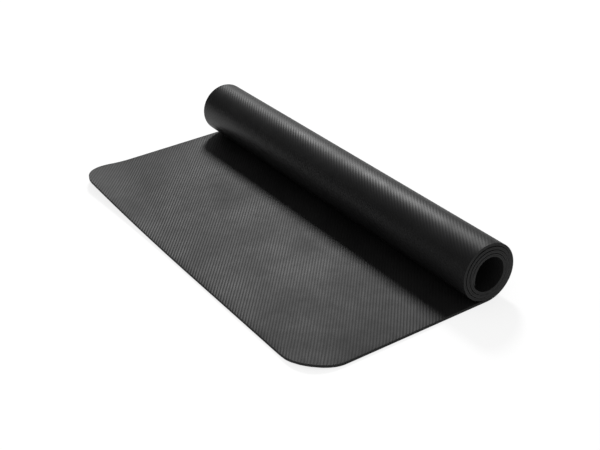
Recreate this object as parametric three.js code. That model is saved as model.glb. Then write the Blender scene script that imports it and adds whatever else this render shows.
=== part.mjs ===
// A chair mat of two bonded ribbed webs, lying flat from its free edge and wound up at the other end.
// Millimetres, +Z up. X runs along the roll's axis, Y from the free edge to the roll.
// The origin is on the floor, under the middle of the mat's bounding box.
import * as THREE from "three";

// Driving dimensions
const MAT_WIDTH = 750; // across the sheet, which is along the roll
const MAT_LENGTH = 1220; // cut length, along the middle of the thickness
const CORNER_RADIUS = 62; // all four corners of the cut sheet
const TOP_LAYER_THICKNESS = 2.1; // over the ribs, the side a chair stands on
const BASE_LAYER_THICKNESS = 2.1; // over the ribs, the side that grips the floor
const BOND_GAP = 0.3; // room for the adhesive film between the layers
const FLAT_RUN = 306; // from the free edge to where the sheet starts to rise
const BORE_RADIUS = 23.09; // from the roll's axis to the inner end of the sheet
const WINDING_GAP = 0.8; // clearance between one turn and the next

// How finely the curves are cut
const STEPS_PER_TURN = 60;
const STEPS_PER_CORNER = 12;
const SHORTEST_STEP = 0.4; // stations closer than this along the sheet are merged
const LENGTH_STEPS = 2000; // for measuring the spiral

const FULL_TURN = 2 * Math.PI;
const MAT_THICKNESS = BASE_LAYER_THICKNESS + BOND_GAP + TOP_LAYER_THICKNESS;
const MIDDLE = MAT_THICKNESS / 2;
const TURN_PITCH = MAT_THICKNESS + WINDING_GAP;

// The radius shrinks by one pitch a turn. Taking the sine away keeps its slope at nothing where the
// sheet leaves the floor, so that the flat run flows into the roll without a kink.
function shrinkage(angle) {
  return (TURN_PITCH * (angle - Math.sin(angle))) / FULL_TURN;
}

// The underside's point and the unit normal towards the roll's axis, at an angle round the roll that
// is 0 on the floor and grows up the far side, over the top and down towards the free edge.
function underside(angle, startRadius) {
  const radius = startRadius - shrinkage(angle);
  const slope = (-TURN_PITCH * (1 - Math.cos(angle))) / FULL_TURN;
  const alongY = slope * Math.sin(angle) + radius * Math.cos(angle);
  const alongZ = radius * Math.sin(angle) - slope * Math.cos(angle);
  const size = Math.hypot(alongY, alongZ);
  return {
    y: FLAT_RUN + radius * Math.sin(angle),
    z: startRadius - radius * Math.cos(angle),
    normalY: -alongZ / size,
    normalZ: alongY / size,
  };
}

function raised(point, depth) {
  return {
    y: point.y + depth * point.normalY,
    z: point.z + depth * point.normalZ,
  };
}

// The start radius that leaves the bore at a winding's last angle.
function startRadiusFor(lastAngle) {
  return BORE_RADIUS + MAT_THICKNESS + shrinkage(lastAngle);
}

// Angles and lengths along the middle of the thickness, from the floor to the inner end.
function measureWinding(lastAngle) {
  const startRadius = startRadiusFor(lastAngle);
  const angles = [0];
  const lengths = [0];
  let before = raised(underside(0, startRadius), MIDDLE);
  for (let i = 1; i <= LENGTH_STEPS; i++) {
    const angle = (lastAngle * i) / LENGTH_STEPS;
    const here = raised(underside(angle, startRadius), MIDDLE);
    const step = Math.hypot(here.y - before.y, here.z - before.z);
    angles.push(angle);
    lengths.push(lengths[i - 1] + step);
    before = here;
  }
  return { startRadius, angles, lengths };
}

// The winding takes all the length that the flat run leaves: its last angle is found by halving.
function wind() {
  const wanted = MAT_LENGTH - FLAT_RUN;
  let low = 0;
  let high = wanted / BORE_RADIUS;
  while (high - low > 1e-9) {
    const middle = (low + high) / 2;
    const { lengths } = measureWinding(middle);
    if (lengths[LENGTH_STEPS] < wanted) low = middle;
    else high = middle;
  }
  return { lastAngle: low, ...measureWinding(low) };
}

const winding = wind();

function lengthAtAngle(angle) {
  const place = (angle / winding.lastAngle) * LENGTH_STEPS;
  const i = Math.min(Math.floor(place), LENGTH_STEPS - 1);
  const [a, b] = [winding.lengths[i], winding.lengths[i + 1]];
  return FLAT_RUN + a + (b - a) * (place - i);
}

function angleAtLength(length) {
  const wanted = length - FLAT_RUN;
  let i = 0;
  while (i < LENGTH_STEPS - 1 && winding.lengths[i + 1] < wanted) i++;
  const [a, b] = [winding.lengths[i], winding.lengths[i + 1]];
  const [angleA, angleB] = [winding.angles[i], winding.angles[i + 1]];
  return angleA + ((angleB - angleA) * (wanted - a)) / (b - a);
}

// A point of the section, depth above the underside, at a length from the free edge.
function sectionPoint(length, depth) {
  if (length <= FLAT_RUN) return { y: length, z: depth };
  const angle = Math.min(angleAtLength(length), winding.lastAngle);
  return raised(underside(angle, winding.startRadius), depth);
}

// Half the sheet's width at a length from the free edge, rounded at both ends.
function halfWidth(length) {
  const fromEnd = Math.min(length, MAT_LENGTH - length);
  const inCorner = Math.max(CORNER_RADIUS - fromEnd, 0);
  const drawnIn = CORNER_RADIUS - Math.sqrt(CORNER_RADIUS ** 2 - inCorner ** 2);
  return MAT_WIDTH / 2 - drawnIn;
}

// Lengths at which the section is cut: the corners' own steps, the end of the flat run, and the same
// angles in every turn, so that the facets of one turn lie along those of the next.
function stations() {
  const wanted = [0, FLAT_RUN, MAT_LENGTH];
  for (let i = 1; i <= STEPS_PER_CORNER; i++) {
    const turn = (Math.PI / 2) * (i / STEPS_PER_CORNER);
    const fromEnd = CORNER_RADIUS * (1 - Math.cos(turn));
    wanted.push(fromEnd, MAT_LENGTH - fromEnd);
  }
  const step = FULL_TURN / STEPS_PER_TURN;
  for (let angle = step; angle < winding.lastAngle; angle += step) {
    wanted.push(lengthAtAngle(angle));
  }
  wanted.sort((a, b) => a - b);
  const kept = [0];
  for (const length of wanted) {
    const last = kept[kept.length - 1];
    const room = length === MAT_LENGTH ? 0 : SHORTEST_STEP;
    if (length - last > SHORTEST_STEP && MAT_LENGTH - length >= room) {
      kept.push(length);
    }
  }
  return kept;
}

const STATIONS = stations();

// One web of the sheet, between two depths above the underside, as a closed skin.
function layerGeometry(lowDepth, highDepth) {
  const positions = [];
  for (const length of STATIONS) {
    const half = halfWidth(length);
    const low = sectionPoint(length, lowDepth);
    const high = sectionPoint(length, highDepth);
    positions.push(-half, low.y, low.z, half, low.y, low.z);
    positions.push(half, high.y, high.z, -half, high.y, high.z);
  }
  const faces = [0, 1, 2, 0, 2, 3];
  const last = 4 * (STATIONS.length - 1);
  for (let ring = 0; ring < last; ring += 4) {
    for (let side = 0; side < 4; side++) {
      const a = ring + side;
      const b = ring + ((side + 1) % 4);
      faces.push(a, a + 4, b + 4, a, b + 4, b);
    }
  }
  faces.push(last, last + 2, last + 1, last, last + 3, last + 2);
  const geometry = new THREE.BufferGeometry();
  const corners = new Float32Array(positions);
  geometry.setAttribute("position", new THREE.BufferAttribute(corners, 3));
  geometry.setIndex(faces);
  geometry.computeVertexNormals();
  return geometry;
}

// The least distance between the top face of one turn and the underside of the next, measured from
// the stations' points to the facets between them.
function leastGapToItself() {
  const tops = STATIONS.map((length) => sectionPoint(length, MAT_THICKNESS));
  const unders = STATIONS.map((length) => sectionPoint(length, 0));
  const turnLength = FULL_TURN * BORE_RADIUS;
  const distance = (p, a, b) => {
    const [dy, dz] = [b.y - a.y, b.z - a.z];
    const along = ((p.y - a.y) * dy + (p.z - a.z) * dz) / (dy * dy + dz * dz);
    const t = Math.min(Math.max(along, 0), 1);
    return Math.hypot(p.y - a.y - t * dy, p.z - a.z - t * dz);
  };
  let least = Infinity;
  for (let i = 0; i < STATIONS.length; i++) {
    for (let j = 1; j < STATIONS.length; j++) {
      if (Math.abs(STATIONS[i] - STATIONS[j]) < turnLength / 2) continue;
      least = Math.min(least, distance(tops[i], unders[j - 1], unders[j]));
      least = Math.min(least, distance(unders[i], tops[j - 1], tops[j]));
    }
  }
  return least;
}

const baseLayerRubber = new THREE.MeshStandardMaterial({
  color: 0x222223,
  roughness: 0.52,
  metalness: 0,
});

const topLayerRubber = new THREE.MeshStandardMaterial({
  color: 0x232324,
  roughness: 0.54,
  metalness: 0,
});

function baseLayer() {
  const geometry = layerGeometry(0, BASE_LAYER_THICKNESS);
  const layer = new THREE.Mesh(geometry, baseLayerRubber);
  layer.name = "base_layer";
  return layer;
}

function topLayer() {
  const lowDepth = BASE_LAYER_THICKNESS + BOND_GAP;
  const geometry = layerGeometry(lowDepth, MAT_THICKNESS);
  const layer = new THREE.Mesh(geometry, topLayerRubber);
  layer.name = "top_layer";
  return layer;
}

// The sheet is drawn from its free edge at Y = 0, then moved so that its middle is over the origin.
function mat() {
  const sheet = new THREE.Group();
  sheet.add(baseLayer(), topLayer());
  const box = new THREE.Box3().setFromObject(sheet);
  sheet.position.y = -(box.min.y + box.max.y) / 2;
  const whole = new THREE.Group();
  whole.add(sheet);
  return whole;
}

const chairMat = mat();
const overall = new THREE.Box3().setFromObject(chairMat);
const size = overall.getSize(new THREE.Vector3());
const turns = winding.lastAngle / FULL_TURN;
console.log(`turns ${turns.toFixed(3)}, start radius ${winding.startRadius.toFixed(2)} mm`);
console.log(`least gap of the winding to itself ${leastGapToItself().toFixed(3)} mm`);
console.log(`overall ${size.x.toFixed(2)} x ${size.y.toFixed(2)} x ${size.z.toFixed(2)} mm`);

export default chairMat;
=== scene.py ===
# %% [markdown]
# # A ribbed rubber chair mat, partly rolled up
# A chair mat is a sheet of rubber, 4.5 mm thick, that lies under an office chair.
# This one is two ribbed webs bonded back to back, with one end still wound up as it was delivered.
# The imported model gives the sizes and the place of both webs.
# Here each web is modelled again, rib by rib.

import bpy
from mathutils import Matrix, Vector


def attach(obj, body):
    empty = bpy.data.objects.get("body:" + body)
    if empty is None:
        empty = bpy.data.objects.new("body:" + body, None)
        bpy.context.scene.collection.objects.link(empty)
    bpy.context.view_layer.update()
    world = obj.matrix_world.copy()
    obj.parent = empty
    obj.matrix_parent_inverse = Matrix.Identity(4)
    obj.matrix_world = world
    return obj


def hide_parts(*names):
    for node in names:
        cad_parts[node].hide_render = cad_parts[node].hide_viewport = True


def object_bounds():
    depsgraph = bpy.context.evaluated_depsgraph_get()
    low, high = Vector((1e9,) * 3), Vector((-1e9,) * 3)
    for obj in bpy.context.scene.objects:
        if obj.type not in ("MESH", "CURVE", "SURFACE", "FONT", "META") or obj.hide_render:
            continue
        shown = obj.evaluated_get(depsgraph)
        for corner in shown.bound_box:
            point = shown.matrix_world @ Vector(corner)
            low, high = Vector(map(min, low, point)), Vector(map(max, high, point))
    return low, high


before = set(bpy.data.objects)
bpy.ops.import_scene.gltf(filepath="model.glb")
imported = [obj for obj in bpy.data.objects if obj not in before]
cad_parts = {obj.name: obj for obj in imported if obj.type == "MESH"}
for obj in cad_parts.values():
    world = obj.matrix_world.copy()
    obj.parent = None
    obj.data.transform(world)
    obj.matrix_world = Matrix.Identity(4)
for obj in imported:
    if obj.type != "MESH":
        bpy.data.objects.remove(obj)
cad_low, cad_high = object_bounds()

# %% [markdown]
# ## Sizes
# All lengths are in metres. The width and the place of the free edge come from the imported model.
# The rest are the sizes that the sheet is made to: its cut, its layers and how tightly it is wound.

# %% Driving sizes
import math

import bmesh
import bpy
import numpy as np
from mathutils import Matrix, Vector
from mathutils.geometry import delaunay_2d_cdt

MAT_WIDTH = cad_high.x - cad_low.x
FREE_EDGE_Y = cad_low.y
MAT_LENGTH = 1.220
CORNER_RADIUS = 0.062
LAYER_THICKNESS = 0.0021
BOND_GAP = 0.0003
FLAT_RUN = 0.306
BORE_RADIUS = 0.02309
WINDING_GAP = 0.0008

MAT_THICKNESS = 2 * LAYER_THICKNESS + BOND_GAP
TURN_PITCH = MAT_THICKNESS + WINDING_GAP
FULL_TURN = 2 * math.pi

# %% [markdown]
# ## Camera
# The photograph looks down on the mat from its near right corner, with a long lens.
# A camera could be placed by hand until the picture looks right. Here it is set by measured values:
# the point it looks at, where it looks from, how far away it is and how far it is tipped to one side.
# It comes before the pieces, so that every later step can be rendered and compared.

# %% Camera
IMAGE_WIDTH_PX = 600
FOCAL_LENGTH_PX = 1134.86
CAMERA_AZIMUTH = math.radians(58.6568)
CAMERA_ELEVATION = math.radians(29.4908)
CAMERA_TILT = math.radians(-3.5144)
CAMERA_DISTANCE = 1.84727
LOOK_AT = Vector((0.020703, FREE_EDGE_Y + 0.217707, 0))
SENSOR_WIDTH_MM = 36


def add_camera():
    """A camera that looks at LOOK_AT, tipped round its own axis."""
    back = Vector((
        math.sin(CAMERA_AZIMUTH) * math.cos(CAMERA_ELEVATION),
        -math.cos(CAMERA_AZIMUTH) * math.cos(CAMERA_ELEVATION),
        math.sin(CAMERA_ELEVATION),
    ))
    bpy.ops.object.camera_add(location=LOOK_AT + back * CAMERA_DISTANCE)
    camera = bpy.context.object
    camera.name = "photo_camera"
    tilt = Matrix.Rotation(CAMERA_TILT, 3, back)
    camera.rotation_euler = (tilt @ (-back).to_track_quat("-Z", "Y").to_matrix()).to_euler()
    camera.data.sensor_width = SENSOR_WIDTH_MM
    camera.data.lens = FOCAL_LENGTH_PX * SENSOR_WIDTH_MM / IMAGE_WIDTH_PX
    camera.data.dof.use_dof = False
    return camera


bpy.context.scene.camera = add_camera()
print(f"lens {bpy.context.scene.camera.data.lens:.2f} mm")

# %% [markdown]
# ## The winding
# Seen from the end, the sheet lies flat from its free edge and then winds into a spiral.
# Blender's Simple Deform modifier bends a strip to one radius only, so the spiral is worked out here.
# A spiral whose radius shrinks by one pitch a turn would leave the floor with a kink.
# Taking the sine of the angle away keeps the slope at nothing where the sheet starts to rise.
# The angle is 0 on the floor and grows up the far side, over the top and down the front.

# %% The spiral


def shrinkage(angle):
    """How much smaller the winding is at an angle than where it starts."""
    return TURN_PITCH * (angle - np.sin(angle)) / FULL_TURN


def wound(angle, depth, start_radius):
    """Y and Z of the points that lie a depth above the underside, at angles round the roll."""
    radius = start_radius - shrinkage(angle)
    slope = -TURN_PITCH * (1 - np.cos(angle)) / FULL_TURN
    along_y = slope * np.sin(angle) + radius * np.cos(angle)
    along_z = radius * np.sin(angle) - slope * np.cos(angle)
    size = np.hypot(along_y, along_z)
    y = FLAT_RUN + radius * np.sin(angle) - depth * along_z / size
    z = start_radius - radius * np.cos(angle) + depth * along_y / size
    return y, z


# %% [markdown]
# The winding has to use up exactly the length that the flat run leaves. There is no formula for its
# last angle, so it is found by halving: too short, go on; too long, go back.
# Lengths are measured along the middle of the thickness, because that is where rubber keeps its length.

# %% How far the winding goes
LENGTH_STEPS = 4000
ANGLE_TOLERANCE = 1e-9


def measure_winding(last_angle):
    """The start radius that leaves the bore, and the angles and lengths along the winding."""
    start_radius = BORE_RADIUS + MAT_THICKNESS + shrinkage(last_angle)
    angles = np.linspace(0, last_angle, LENGTH_STEPS + 1)
    y, z = wound(angles, MAT_THICKNESS / 2, start_radius)
    lengths = np.concatenate([[0], np.cumsum(np.hypot(np.diff(y), np.diff(z)))])
    return start_radius, angles, lengths


def last_angle_for(length):
    """The angle at which the winding has used up a length."""
    low = 0
    high = length / BORE_RADIUS
    while high - low > ANGLE_TOLERANCE:
        middle = (low + high) / 2
        _, _, lengths = measure_winding(middle)
        if lengths[-1] < length:
            low = middle
        else:
            high = middle
    return low


LAST_ANGLE = last_angle_for(MAT_LENGTH - FLAT_RUN)
START_RADIUS, ANGLES, LENGTHS = measure_winding(LAST_ANGLE)

# %% [markdown]
# ## Corners that have sprung up
# Rubber that was wound up keeps a little curl. On the flat run two corners stand off the floor:
# the far one by up to 12 mm and the near one by up to 4 mm.
# A cloth simulation would lift them in its own way, while a formula puts them where they are seen.
# Each rises as the square of how far a point lies towards the corner, so it leaves the floor gently.

# %% Curl of the flat run
FAR_CURL_HEIGHT = 0.01529
FAR_CURL_REACH = (0.424, 0.105)
NEAR_CURL_HEIGHT = 0.01666
NEAR_CURL_REACH = (0.0786, 0.0605)


def curl(across, length):
    """How far the sheet stands off the floor, at a place across it and a length from its free edge."""
    from_far = (across + MAT_WIDTH / 2) / FAR_CURL_REACH[0] + length / FAR_CURL_REACH[1]
    from_near = (MAT_WIDTH / 2 - across) / NEAR_CURL_REACH[0] + length / NEAR_CURL_REACH[1]
    far = FAR_CURL_HEIGHT * np.maximum(0, 1 - from_far) ** 2
    near = NEAR_CURL_HEIGHT * np.maximum(0, 1 - from_near) ** 2
    return far + near


# %% [markdown]
# ## From the flat sheet to its place
# Every point of the mat is modelled on the flat sheet first: how far across, how far along, how deep.
# One function then carries it to where it lies, on the floor or in the roll.
# The sheet was rolled up a little askew, so its turns creep towards the near end, most of all at
# first, and that end of the roll stands out as a low cone.

# %% Carry a point of the flat sheet to its place
CREEP = 0.0025


def place(across, length, depth):
    """The mat's points in space, from places on the flat sheet."""
    angle = np.interp(length - FLAT_RUN, LENGTHS, ANGLES)
    y, z = wound(angle, depth, START_RADIUS)
    flat = length <= FLAT_RUN
    y = np.where(flat, length, y)
    z = np.where(flat, depth + curl(across, length), z)
    creep = CREEP * (1 - (1 - angle / LAST_ANGLE) ** 2)
    return np.stack([across + creep, y + FREE_EDGE_Y, z], axis=-1)


# %% [markdown]
# ## Ribs
# Each face has fine straight ribs, cut off square at the outline. On the face that a chair stands on
# they lean one way, and on the face that grips the floor they lean the other way.
# A bump texture could show them, but it would leave the outline and the cut edge smooth.
# A rib is a low flat-topped ridge: wide crest, short flank, and a groove that is almost a V.
# Lines that follow the ribs, four to a rib, give that shape with the fewest faces.

# %% One rib's section
RIB_PITCH = 0.0045
TOP_RIB_DEPTH = 0.00022
BASE_RIB_DEPTH = 0.0001
CREST_EDGE = 0.34  # in pitches from the middle of the crest
GROOVE_EDGE = 0.47
# Both angles are from the roll's axis, seen from above the flat sheet.
TOP_RIB_ANGLE = math.radians(141)
BASE_RIB_ANGLE = math.radians(36)


def crest_height(offset):
    """1 on a rib's crest and 0 in the groove, at an offset across the ribs."""
    phase = offset / RIB_PITCH
    from_crest = np.abs(phase - np.round(phase))
    return np.clip((GROOVE_EDGE - from_crest) / (GROOVE_EDGE - CREST_EDGE), 0, 1)


# %% [markdown]
# ## The cut outline
# The sheet is a rectangle with round corners. Two things are needed from it: how far a point lies
# inside the cut, which rounds the rim, and where a straight line enters and leaves it.

# %% Measure from the outline
RIM_RADIUS = 0.0003


def inset(across, length):
    """How far a place on the flat sheet lies inside the cut outline."""
    beyond_x = np.abs(across) - (MAT_WIDTH / 2 - CORNER_RADIUS)
    beyond_y = np.abs(length - MAT_LENGTH / 2) - (MAT_LENGTH / 2 - CORNER_RADIUS)
    past_centres = np.hypot(np.maximum(beyond_x, 0), np.maximum(beyond_y, 0))
    return CORNER_RADIUS - past_centres - np.minimum(np.maximum(beyond_x, beyond_y), 0)


def rim_drop(distance):
    """How far the rounded rim lies below the face, at a distance inside the outline."""
    short = RIM_RADIUS - np.clip(distance, 0, RIM_RADIUS)
    return RIM_RADIUS - np.sqrt(RIM_RADIUS**2 - short**2)


# %% [markdown]
# A Boolean modifier could trim a ribbed rectangle to this outline, but it would leave ragged slivers.
# Instead each rib's line is ended exactly on the outline.
# The outline is the union of two bars and four discs, so a line's stretch inside it runs
# from the first place where it enters any of them to the last place where it leaves one.

# %% Where a rib's line crosses the outline


def bar_crossing(offset, wave, half_width, start, end):
    """The lengths at which lines across a wave direction enter and leave an upright bar."""
    at_left = (offset + half_width * math.cos(wave)) / math.sin(wave)
    at_right = (offset - half_width * math.cos(wave)) / math.sin(wave)
    low = np.maximum(np.minimum(at_left, at_right), start)
    high = np.minimum(np.maximum(at_left, at_right), end)
    return np.where(low < high, low, np.inf), np.where(low < high, high, -np.inf)


def disc_crossing(offset, wave, centre, radius):
    """The lengths at which lines across a wave direction enter and leave a disc."""
    from_centre = offset - centre[0] * math.cos(wave) - centre[1] * math.sin(wave)
    hit = np.abs(from_centre) < radius
    half = np.sqrt(np.where(hit, radius**2 - from_centre**2, 0)) * abs(math.cos(wave))
    foot = centre[1] + from_centre * math.sin(wave)
    return np.where(hit, foot - half, np.inf), np.where(hit, foot + half, -np.inf)


def corner_centres():
    """The centres of the four corners' arcs on the flat sheet."""
    x = MAT_WIDTH / 2 - CORNER_RADIUS
    return [(side * x, y) for side in (-1, 1) for y in (CORNER_RADIUS, MAT_LENGTH - CORNER_RADIUS)]


def outline_crossing(offset, wave, distance):
    """Where lines enter and leave the outline drawn in by a distance; no crossing gives infinities."""
    half = MAT_WIDTH / 2 - distance
    radius = CORNER_RADIUS - distance
    found = [
        bar_crossing(offset, wave, half, CORNER_RADIUS, MAT_LENGTH - CORNER_RADIUS),
        bar_crossing(offset, wave, half - radius, distance, MAT_LENGTH - distance),
    ]
    found += [disc_crossing(offset, wave, centre, radius) for centre in corner_centres()]
    return np.min([low for low, _ in found], axis=0), np.max([high for _, high in found], axis=0)


# %% [markdown]
# ## Lines along the ribs
# The ribs' lines are numbered across the sheet by their offset. Where a corner's curve runs along
# the ribs, whole pitches would leave a flat, so a few closer lines are added there.

# %% Offsets of the lines
FINE_STEP = math.radians(2.5)
FINE_LINES = 3


def line_offsets(wave):
    """The offsets of all lines across a face, from corner to corner."""
    centres = [x * math.cos(wave) + y * math.sin(wave) for x, y in corner_centres()]
    low = min(centres) - CORNER_RADIUS
    high = max(centres) + CORNER_RADIUS
    fine = [CORNER_RADIUS * (1 - math.cos(FINE_STEP * i)) for i in range(1, FINE_LINES + 1)]
    ribs = np.arange(math.floor(low / RIB_PITCH), math.ceil(high / RIB_PITCH) + 1)
    phases = np.array([-GROOVE_EDGE, -CREST_EDGE, CREST_EDGE, GROOVE_EDGE])
    offsets = ((ribs[:, None] + phases) * RIB_PITCH).ravel()
    inner = offsets[(offsets > low + fine[-1]) & (offsets < high - fine[-1])]
    return np.concatenate([low + np.array(fine), inner, high - np.array(fine[::-1])])


for side, angle in (("chair's", TOP_RIB_ANGLE), ("floor's", BASE_RIB_ANGLE)):
    print(len(line_offsets(angle - math.pi / 2)), "lines on the", side, "side")

# %% [markdown]
# Along each line the points sit at the same lengths as on its neighbours. In the roll these are
# equal angles, so that the faces bend round it together, as slats do.
# Near the outline four more points follow the curve of the rounded rim.

# %% Lengths of the rows
FLAT_ROW_STEP = 0.014
ROWS_PER_TURN = 40
RIM_RINGS = RIM_RADIUS * np.array([0, 0.15, 0.5, 1])
ROW_MARGIN = 0.0008  # rows closer than this to the rim's last ring are left out


def row_lengths():
    """Lengths from the free edge at which every line has a point."""
    flat = np.linspace(0, FLAT_RUN, round(FLAT_RUN / FLAT_ROW_STEP) + 1)
    turned = np.arange(1, LAST_ANGLE / FULL_TURN * ROWS_PER_TURN) * FULL_TURN / ROWS_PER_TURN
    return np.concatenate([flat, FLAT_RUN + np.interp(turned, ANGLES, LENGTHS)])


ROWS = row_lengths()
print(len(ROWS), "rows along the sheet")

# %% [markdown]
# Each point gets a rank, its row's number, so that neighbouring lines can be matched.
# The points of the rim rank before the first row or after the last one.

# %% Points of the lines


def line_points(wave):
    """For each line, its points as (rank, length) from end to end. Equal ranks face each other."""
    offsets = line_offsets(wave)
    rings = [outline_crossing(offsets, wave, distance) for distance in RIM_RINGS]
    past_rows = len(ROWS) + len(RIM_RINGS)
    lines = []
    for i in range(len(offsets)):
        ends = [(low[i], high[i]) for low, high in rings if low[i] < high[i]]
        inner_low, inner_high = ends[-1]
        inside = (ROWS > inner_low + ROW_MARGIN) & (ROWS < inner_high - ROW_MARGIN)
        start = [(rank - len(RIM_RINGS), low) for rank, (low, _) in enumerate(ends)]
        finish = [(past_rows - rank, high) for rank, (_, high) in enumerate(ends)]
        middle = [(int(row), ROWS[row]) for row in np.flatnonzero(inside)]
        lines.append(start + middle + finish[::-1])
    return offsets, lines


# %% [markdown]
# ## Skin
# Neighbouring lines are laced together with triangles, as a shoe is laced: whichever line's next
# point comes first takes the next triangle. That works even where one line is longer than the other.

# %% Lace two lines together


def lace(first, second):
    """Triangles between two neighbouring lines, each a list of (rank, vertex)."""
    faces = []
    i = 0
    j = 0
    while i < len(first) - 1 or j < len(second) - 1:
        rank_i = first[i + 1][0] if i < len(first) - 1 else math.inf
        rank_j = second[j + 1][0] if j < len(second) - 1 else math.inf
        if rank_i <= rank_j:
            faces.append((first[i][1], second[j][1], first[i + 1][1]))
            i += 1
        else:
            faces.append((first[i][1], second[j][1], second[j + 1][1]))
            j += 1
    return faces


def loop_round(ranked):
    """The vertices round the outline: all lines' starts, the last line, all ends, the first line."""
    starts = [line[0][1] for line in ranked]
    last = [vertex for _, vertex in ranked[-1][1:-1]]
    ends = [line[-1][1] for line in ranked[::-1]]
    first = [vertex for _, vertex in ranked[0][-2:0:-1]]
    return starts + last + ends + first


def ribbed_face(wave):
    """Places on the flat sheet, crest heights, triangles and the loop of vertices round the outline."""
    offsets, lines = line_points(wave)
    lengths = np.array([length for line in lines for _, length in line])
    counts = [len(line) for line in lines]
    offset = np.repeat(offsets, counts)
    across = (offset - lengths * math.sin(wave)) / math.cos(wave)
    ranked = []
    vertex = 0
    for line in lines:
        ranked.append([(rank, vertex + k) for k, (rank, _) in enumerate(line)])
        vertex += len(line)
    faces = [face for first, second in zip(ranked, ranked[1:]) for face in lace(first, second)]
    return across, lengths, crest_height(offset), faces, loop_round(ranked)


# %% [markdown]
# The bond face is hidden and needs no ribs. Blender's Delaunay function fills it from the same
# outline and a coarse grid, so that the two faces meet point for point at the cut.

# %% Fill the bond face
BOND_COLUMN = 0.025
BOND_MARGIN = 0.002
SAME_POINT = 1e-7
FILL_INSIDE = 1  # the function's own code for triangles inside the outline only


def bond_face(outline):
    """Places of a plain face inside an outline, and its triangles. The outline's points come first."""
    columns = np.arange(-MAT_WIDTH / 2, MAT_WIDTH / 2, BOND_COLUMN) + BOND_COLUMN / 2
    grid = np.stack(np.meshgrid(columns, ROWS), axis=-1).reshape(-1, 2)
    grid = grid[inset(grid[:, 0], grid[:, 1]) > BOND_MARGIN]
    points = np.concatenate([outline, grid])
    edges = [(i, (i + 1) % len(outline)) for i in range(len(outline))]
    found = delaunay_2d_cdt([Vector(p) for p in points], edges, [], FILL_INSIDE, SAME_POINT)
    _, _, triangles, origins, _, _ = found
    source = [origin[0] for origin in origins]
    return points, [tuple(source[v] for v in face) for face in triangles]


# %% [markdown]
# The mesh keeps three things for the materials: the flat sheet's place as a UV map in sheet widths
# and lengths, how high on a rib a point is, and how near it is to the cut edge.

# %% Keep what the materials read
EDGE_ZONE = 0.004


def keep_sheet_data(mesh, across, lengths, crest):
    """Stores the flat sheet's coordinates, the crest height and the nearness to the cut on a mesh."""
    near_cut = np.clip(1 - inset(across, lengths) / EDGE_ZONE, 0, 1)
    for name, values in (("crest", crest), ("near_cut", near_cut)):
        attribute = mesh.attributes.new(name, "FLOAT", "POINT")
        attribute.data.foreach_set("value", values.astype(np.float32))
    corners = np.zeros(len(mesh.loops), np.int32)
    mesh.loops.foreach_get("vertex_index", corners)
    sheet = np.stack([across / MAT_WIDTH + 0.5, lengths / MAT_LENGTH], axis=-1)[corners]
    mesh.uv_layers.new(name="sheet").data.foreach_set("uv", sheet.astype(np.float32).ravel())


# %% [markdown]
# Faces have to point outwards, or the material is lit from the wrong side. Their normals are
# recalculated, and if the volume comes out negative the whole skin is turned inside out.
# The ribs and the rounded rim are shaded smooth. The square corner at the bond is steeper than
# 60 degrees, so it stays sharp.

# %% Turn the skin outwards and add the object
WALL_SLOT = 1
CORNER_ANGLE = math.radians(60)
CM3 = 1e6  # cubic centimetres in a cubic metre


def face_outwards(mesh, wall_faces):
    """Gives the wall, the mesh's last faces, its own material slot, and turns the skin outwards."""
    shape = bmesh.new()
    shape.from_mesh(mesh)
    shape.faces.ensure_lookup_table()
    for face in shape.faces[-wall_faces:]:
        face.material_index = WALL_SLOT
    bmesh.ops.recalc_face_normals(shape, faces=shape.faces)
    if shape.calc_volume(signed=True) < 0:
        bmesh.ops.reverse_faces(shape, faces=shape.faces)
    triangles = sum(len(face.verts) - 2 for face in shape.faces)
    open_edges = sum(not edge.is_manifold for edge in shape.edges)
    volume = CM3 * shape.calc_volume(signed=True)
    print(mesh.name, triangles, "triangles,", open_edges, "open edges,", f"{volume:.0f} cm3")
    shape.to_mesh(mesh)
    shape.free()


def add_object(name, mesh):
    """An object of a mesh, shaded smooth up to the corners of the cut."""
    web = bpy.data.objects.new(name, mesh)
    bpy.context.scene.collection.objects.link(web)
    bpy.ops.object.select_all(action="DESELECT")
    web.select_set(True)
    bpy.context.view_layer.objects.active = web
    bpy.ops.object.shade_smooth_by_angle(angle=CORNER_ANGLE)
    return web


# %% [markdown]
# ## A web
# A web is a ribbed face, a bond face and a wall round the cut, in one mesh. A ribbed plane with a
# Solidify modifier would be quicker, but its hidden face would be ribbed too and its rim square.
# Here the wall takes its corners from the outlines of both faces, so the skin is closed.

# %% Build one web


def add_web(name, rib_angle, rib_depth, outer_depth, bond_depth):
    """One web of the mat as a closed mesh, ribbed on its outer face."""
    wave = rib_angle - math.pi / 2
    across, lengths, crest, faces, loop = ribbed_face(wave)
    drop = np.maximum(rib_depth * (1 - crest), rim_drop(inset(across, lengths)))
    depth = outer_depth + np.sign(bond_depth - outer_depth) * drop

    bond, bond_faces = bond_face(np.stack([across[loop], lengths[loop]], axis=-1))
    first = len(across)
    faces += [tuple(first + v for v in face) for face in bond_faces]
    for k in range(len(loop)):
        after = (k + 1) % len(loop)
        faces.append((loop[k], loop[after], first + after, first + k))

    across = np.concatenate([across, bond[:, 0]])
    lengths = np.concatenate([lengths, bond[:, 1]])
    depth = np.concatenate([depth, np.full(len(bond), bond_depth)])
    crest = np.concatenate([crest, np.zeros(len(bond))])
    mesh = bpy.data.meshes.new(name)
    mesh.from_pydata(place(across, lengths, depth).tolist(), [], faces)
    keep_sheet_data(mesh, across, lengths, crest)
    face_outwards(mesh, len(loop))
    return add_object(name, mesh)


# %% [markdown]
# ## The web that grips the floor
# On the flat run it lies underneath. The sheet curls up behind the roll and comes forward over it,
# so the same web is also the skin of the roll.

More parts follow.
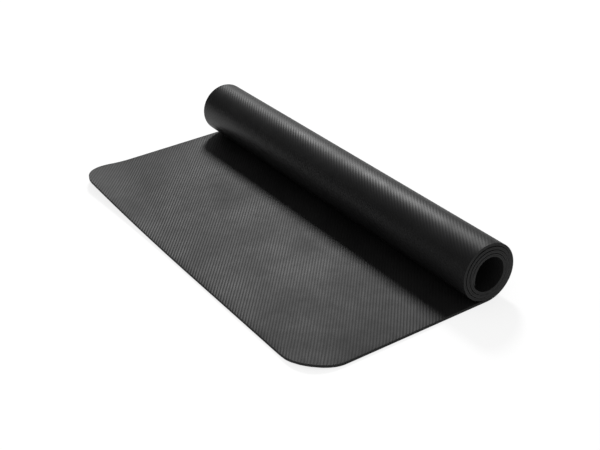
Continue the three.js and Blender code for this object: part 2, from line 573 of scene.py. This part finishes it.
# %% Base web
base_web = add_web("base_web", BASE_RIB_ANGLE, BASE_RIB_DEPTH, 0, LAYER_THICKNESS)
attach(base_web, "root")
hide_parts("base_layer")

# %% [markdown]
# ## The web that the chair stands on
# It lies on top of the flat run and lines the bore of the roll.

# %% Top web
top_web = add_web("top_web", TOP_RIB_ANGLE, TOP_RIB_DEPTH, MAT_THICKNESS, LAYER_THICKNESS + BOND_GAP)
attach(top_web, "root")
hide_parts("top_layer")

# %% [markdown]
# Both webs are sheets of one cut size. On the flat run the base web lies on the floor and carries
# the top web. In the roll each turn's base web also lies on the top web of the turn under it.

# %% [markdown]
# ## Rubber
# Black rubber is never one even black. Wax that rises to its surface, and dust that settles on it,
# make a faint grey bloom in broad clouds. The crests are rubbed smoother than the grooves, and the
# skin has a fine grain.
# The near end of the roll is duller than the rest, as on a roll that has been stood on that end,
# so the last 22 cm of that side of the sheet are scuffed.
# Both webs show all of this, so it is one node group with its own values in each material.

# %% Node helpers


def add_node(tree, kind, **settings):
    """A node with its properties and unlinked inputs set."""
    node = tree.nodes.new(kind)
    for key, value in settings.items():
        if hasattr(node, key):
            setattr(node, key, value)
        else:
            node.inputs[key].default_value = value
    return node


def join_up(tree, kind, *sources):
    """A node whose first inputs take the given sockets in turn."""
    node = tree.nodes.new(kind)
    for socket, source in zip(node.inputs, sources):
        tree.links.new(source, socket)
    return node


def calculate(tree, operation, *values):
    """A Math node on values that are each a number or a socket."""
    node = tree.nodes.new("ShaderNodeMath")
    node.operation = operation
    for socket, value in zip(node.inputs, values):
        if isinstance(value, (int, float)):
            socket.default_value = value
        else:
            tree.links.new(value, socket)
    return node.outputs["Value"]


def ramp(tree, value, start, end, interpolation="SMOOTHSTEP"):
    """A step from 0 where a value is at the start to 1 where it is at the end."""
    step = add_node(tree, "ShaderNodeMapRange", interpolation_type=interpolation)
    step.inputs["From Min"].default_value = start
    step.inputs["From Max"].default_value = end
    tree.links.new(value, step.inputs["Value"])
    return step.outputs["Result"]


def noise_between(tree, vector, scale, detail, low, high):
    """Noise at a scale per metre, stretched so that it runs from 0 at low to 1 at high."""
    noise = add_node(tree, "ShaderNodeTexNoise", Scale=scale, Detail=detail)
    tree.links.new(vector, noise.inputs["Vector"])
    return ramp(tree, noise.outputs["Fac"], low, high, "LINEAR")


# %% [markdown]
# The group reads a place on the sheet in metres, so the same grain runs unbroken from the flat
# run into the roll. It puts out a colour, a roughness and a height for the grain's bump.
# An image texture would need a photograph of the rubber, while noise has no seams and fits any size.

# %% Values of the rubber's surface
CLOUDS = {"scale": 9, "detail": 3, "low": 0.35, "high": 0.7}
SMUDGES = {"scale": 60, "detail": 4, "low": 0.4, "high": 0.75}
GRAIN = {"scale": 1500, "detail": 2, "low": 0.2, "high": 0.8}
CLOUD_SHARE = 0.7
SMUDGE_SHARE = 0.3
RUBBED_EDGE = 0.6
BLOOM_COLOR = (0.075, 0.074, 0.072, 1)
MEAN_PATCH = 0.5
ROUGHNESS_SWING = 0.12
SCUFF_WIDTH = 0.22
SURFACE_INPUTS = {
    "Place": "Vector", "Color": "Color", "Crest": "Float", "Near Cut": "Float",
    "Bloom": "Float", "Roughness": "Float", "Polish": "Float", "Scuff": "Float",
}
SURFACE_OUTPUTS = {"Color": "Color", "Roughness": "Float", "Height": "Float"}
print("the surface takes", list(SURFACE_INPUTS), "and gives", list(SURFACE_OUTPUTS))

# %% Parts of the surface


def bloomed(group, given, patches):
    """The rubber's colour with a grey bloom over it, in patches and along the cut."""
    rubbed = calculate(group, "MULTIPLY", given["Near Cut"], RUBBED_EDGE)
    dusty = calculate(group, "MAXIMUM", patches, rubbed)
    share = calculate(group, "MULTIPLY", dusty, given["Bloom"])
    tint = add_node(group, "ShaderNodeMix", data_type="RGBA")
    factor, own, other = [socket for socket in tint.inputs if socket.enabled]
    group.links.new(share, factor)
    group.links.new(given["Color"], own)
    other.default_value = BLOOM_COLOR
    return next(socket for socket in tint.outputs if socket.enabled)


def worn_roughness(group, given, patches):
    """The roughness: uneven in patches, lower on the crests and higher on the scuffed side."""
    off_mean = calculate(group, "SUBTRACT", patches, MEAN_PATCH)
    uneven = calculate(group, "MULTIPLY", off_mean, ROUGHNESS_SWING)
    polished = calculate(group, "MULTIPLY", given["Crest"], given["Polish"])
    apart = join_up(group, "ShaderNodeSeparateXYZ", given["Place"])
    near_side = ramp(group, apart.outputs["X"], MAT_WIDTH - SCUFF_WIDTH, MAT_WIDTH)
    scuffed = calculate(group, "MULTIPLY", near_side, given["Scuff"])
    rough = calculate(group, "ADD", given["Roughness"], calculate(group, "ADD", uneven, scuffed))
    return calculate(group, "SUBTRACT", rough, polished)


# %% Node group for the rubber's surface


def rubber_group():
    """A node group that gives a worn rubber surface its colour, roughness and grain."""
    group = bpy.data.node_groups.new("rubber_surface", "ShaderNodeTree")
    for way, sockets in (("INPUT", SURFACE_INPUTS), ("OUTPUT", SURFACE_OUTPUTS)):
        for name, kind in sockets.items():
            group.interface.new_socket(name, in_out=way, socket_type="NodeSocket" + kind)
    given = group.nodes.new("NodeGroupInput").outputs
    result = group.nodes.new("NodeGroupOutput").inputs

    clouds = noise_between(group, given["Place"], **CLOUDS)
    smudges = noise_between(group, given["Place"], **SMUDGES)
    smudges = calculate(group, "MULTIPLY", smudges, SMUDGE_SHARE)
    patches = calculate(group, "MULTIPLY_ADD", clouds, CLOUD_SHARE, smudges)
    group.links.new(bloomed(group, given, patches), result["Color"])
    group.links.new(worn_roughness(group, given, patches), result["Roughness"])
    group.links.new(noise_between(group, given["Place"], **GRAIN), result["Height"])
    return group


RUBBER_SURFACE = rubber_group()
print(RUBBER_SURFACE.name, "has", len(RUBBER_SURFACE.nodes), "nodes")

# %% [markdown]
# Each material places the group, feeds it the sheet's own map and attributes, and mixes its own
# colour and bloom. The chair's side is a little greyer than the side that has lain against itself.
# The cut has no moulded skin, so it is duller and slightly paler than both: the walls of the two webs
# carry a third material.

# %% Rubber material
GRAIN_STRENGTH = 0.12
GRAIN_HEIGHT = 0.00005


def rubber(name, gloss, **finish):
    """A material for one web, or for its cut, from its gloss and its own values of the surface."""
    material = bpy.data.materials.new(name)
    material.use_nodes = True
    tree = material.node_tree
    shader = tree.nodes["Principled BSDF"]
    shader.inputs["Specular IOR Level"].default_value = gloss
    surface = add_node(tree, "ShaderNodeGroup", node_tree=RUBBER_SURFACE)
    for socket, value in finish.items():
        surface.inputs[socket].default_value = value

    sheet = add_node(tree, "ShaderNodeUVMap", uv_map="sheet")
    metres = add_node(tree, "ShaderNodeMapping", Scale=(MAT_WIDTH, MAT_LENGTH, 1))
    tree.links.new(sheet.outputs["UV"], metres.inputs["Vector"])
    tree.links.new(metres.outputs["Vector"], surface.inputs["Place"])
    for socket, attribute in (("Crest", "crest"), ("Near Cut", "near_cut")):
        reader = add_node(tree, "ShaderNodeAttribute", attribute_name=attribute)
        tree.links.new(reader.outputs["Fac"], surface.inputs[socket])

    grain = add_node(tree, "ShaderNodeBump", Strength=GRAIN_STRENGTH, Distance=GRAIN_HEIGHT)
    tree.links.new(surface.outputs["Height"], grain.inputs["Height"])
    tree.links.new(grain.outputs["Normal"], shader.inputs["Normal"])
    tree.links.new(surface.outputs["Color"], shader.inputs["Base Color"])
    tree.links.new(surface.outputs["Roughness"], shader.inputs["Roughness"])
    return material


# %% Finish of the webs and of the cut
BASE_COLOR = (0.0125, 0.0125, 0.013, 1)
TOP_COLOR = (0.0128, 0.0128, 0.0132, 1)
CUT_COLOR = (0.034, 0.034, 0.0343, 1)
BASE_FINISH = {"Color": BASE_COLOR, "Bloom": 0.10, "Roughness": 0.52, "Polish": 0.04, "Scuff": 0.07}
TOP_FINISH = {"Color": TOP_COLOR, "Bloom": 0.12, "Roughness": 0.575, "Polish": 0.04, "Scuff": 0.05}
CUT_FINISH = {"Color": CUT_COLOR, "Bloom": 0.05, "Roughness": 0.75, "Polish": 0, "Scuff": 0}
BASE_GLOSS = 0.295
TOP_GLOSS = 0.28
CUT_GLOSS = 0.2

base_web.data.materials.append(rubber("base_rubber", BASE_GLOSS, **BASE_FINISH))
top_web.data.materials.append(rubber("top_rubber", TOP_GLOSS, **TOP_FINISH))
cut_rubber = rubber("cut_rubber", CUT_GLOSS, **CUT_FINISH)
for web in (base_web, top_web):
    web.data.materials.append(cut_rubber)
    print(web.name, "wears", [material.name for material in web.data.materials])

# %% [markdown]
# ## Floor
# The floor is pale and plain. The camera sees it almost white, and the mat's shadow stays on it.
# More lamps would make it white too, but they would also turn the black mat grey.
# Light Path tells a ray that comes from the camera, or from a gloss, from one that carries light
# to the mat: the first kind meets a white floor, the second an ordinary pale one.

# %% Floor
FLOOR_SIZE = 8
FLOOR_DROP = 0.0002  # keeps the floor just clear of the sheet's underside
FLOOR_COLOR = (0.8, 0.8, 0.8, 1)
SHADOW_SHARE = (0.3, 0.3, 0.3, 1)
FLOOR_GLOW = 0.80


def seen_by_gloss(tree):
    """A socket that is 1 for rays from a gloss or through glass."""
    path = tree.nodes.new("ShaderNodeLightPath").outputs
    return calculate(tree, "MAXIMUM", path["Is Glossy Ray"], path["Is Transmission Ray"])


def seen_by_camera(tree):
    """A socket that is 1 for rays from the camera."""
    return tree.nodes.new("ShaderNodeLightPath").outputs["Is Camera Ray"]


def floor_material():
    """Pale for the light that it gives back, and near white where it is looked at."""
    material = bpy.data.materials.new("floor_white")
    material.use_nodes = True
    tree = material.node_tree
    tree.nodes.clear()
    pale = add_node(tree, "ShaderNodeBsdfDiffuse", Color=FLOOR_COLOR).outputs["BSDF"]
    shadow = add_node(tree, "ShaderNodeBsdfDiffuse", Color=SHADOW_SHARE).outputs["BSDF"]
    glow = add_node(tree, "ShaderNodeEmission", Strength=FLOOR_GLOW).outputs["Emission"]
    white = join_up(tree, "ShaderNodeAddShader", shadow, glow).outputs["Shader"]
    looked_at = calculate(tree, "MAXIMUM", seen_by_camera(tree), seen_by_gloss(tree))
    choice = join_up(tree, "ShaderNodeMixShader", looked_at, pale, white)
    join_up(tree, "ShaderNodeOutputMaterial", choice.outputs["Shader"])
    return material


bpy.ops.mesh.primitive_plane_add(size=FLOOR_SIZE, location=(0, 0, -FLOOR_DROP))
floor = bpy.context.object
floor.name = "floor"
floor.data.materials.append(floor_material())

# %% [markdown]
# ## Light
# One soft box hangs high behind the mat, to the left. Its gloss makes the flat run grey and draws the
# bright band along the top of the roll, and the roll throws its shadow on the flat run.
# A lamp over the camera would light the mat more evenly, but black rubber would then show no shape.

# %% Lamp
KEY_DIRECTION = Vector((-0.66, 0.45, 0.665))
KEY_DISTANCE = 6
KEY_SIZE = 1.2
KEY_POWER = 186


def add_soft_box(name, direction, distance, size, power):
    """A round area lamp that shines on the mat from a direction."""
    towards = direction.normalized()
    bpy.ops.object.light_add(type="AREA", location=LOOK_AT + towards * distance)
    lamp = bpy.context.object
    lamp.name = name
    lamp.rotation_euler = towards.to_track_quat("Z", "Y").to_euler()
    lamp.data.shape = "DISK"
    lamp.data.size = size
    lamp.data.energy = power
    return lamp


key_box = add_soft_box("key_box", KEY_DIRECTION, KEY_DISTANCE, KEY_SIZE, KEY_POWER)
print(f"{key_box.name} hangs {key_box.location.z:.1f} m above the floor")

# %% [markdown]
# The rest of the light is an even, dim room, which opens up the end of the roll and the shadow.
# The world's Background node plays three parts. The camera sees it white. Light that falls on the mat
# comes from a grey room. A gloss sees a nearly black room with one paler stretch, low behind the mat
# on the left, because a black mat that mirrors a white room all round would look grey.

# %% The room
ROOM_LEVEL = 0.45
ROOM_GLOSS = 0.05
SWEEP_DIRECTION = (-0.8, 0.6, 0)
SWEEP_SIDE = (0.78, 0.90)  # where the stretch begins, by how far a ray points along its direction
SWEEP_TOP = (0.46, 0.38)  # where it ends, by how far a ray points up
SWEEP_LEVEL = 0.4
WHITE = (1, 1, 1, 1)


def room_in_gloss(tree):
    """How bright a gloss sees the room in each direction."""
    direction = tree.nodes.new("ShaderNodeTexCoord").outputs["Generated"]
    facing = add_node(tree, "ShaderNodeVectorMath", operation="DOT_PRODUCT")
    tree.links.new(direction, facing.inputs[0])
    facing.inputs[1].default_value = SWEEP_DIRECTION
    apart = join_up(tree, "ShaderNodeSeparateXYZ", direction)
    across = ramp(tree, facing.outputs["Value"], *SWEEP_SIDE)
    low_down = ramp(tree, apart.outputs["Z"], *SWEEP_TOP)
    sweep = calculate(tree, "MULTIPLY", across, low_down)
    return calculate(tree, "MAXIMUM", calculate(tree, "MULTIPLY", sweep, SWEEP_LEVEL), ROOM_GLOSS)


def light_room():
    """A world that is white to the camera, dim to a gloss and even for the light on the mat."""
    world = bpy.data.worlds.new("studio")
    bpy.context.scene.world = world
    world.use_nodes = True
    tree = world.node_tree
    gloss = calculate(tree, "MULTIPLY", seen_by_gloss(tree), room_in_gloss(tree))
    seen = calculate(tree, "MAXIMUM", seen_by_camera(tree), gloss)
    lit = tree.nodes.new("ShaderNodeLightPath").outputs["Is Diffuse Ray"]
    even = calculate(tree, "MULTIPLY", lit, ROOM_LEVEL)
    background = tree.nodes["Background"].inputs
    tree.links.new(calculate(tree, "MAXIMUM", seen, even), background["Strength"])
    background["Color"].default_value = WHITE
    return world


room = light_room()
bpy.context.scene.view_settings.view_transform = "Standard"
print("the world is", room.name)
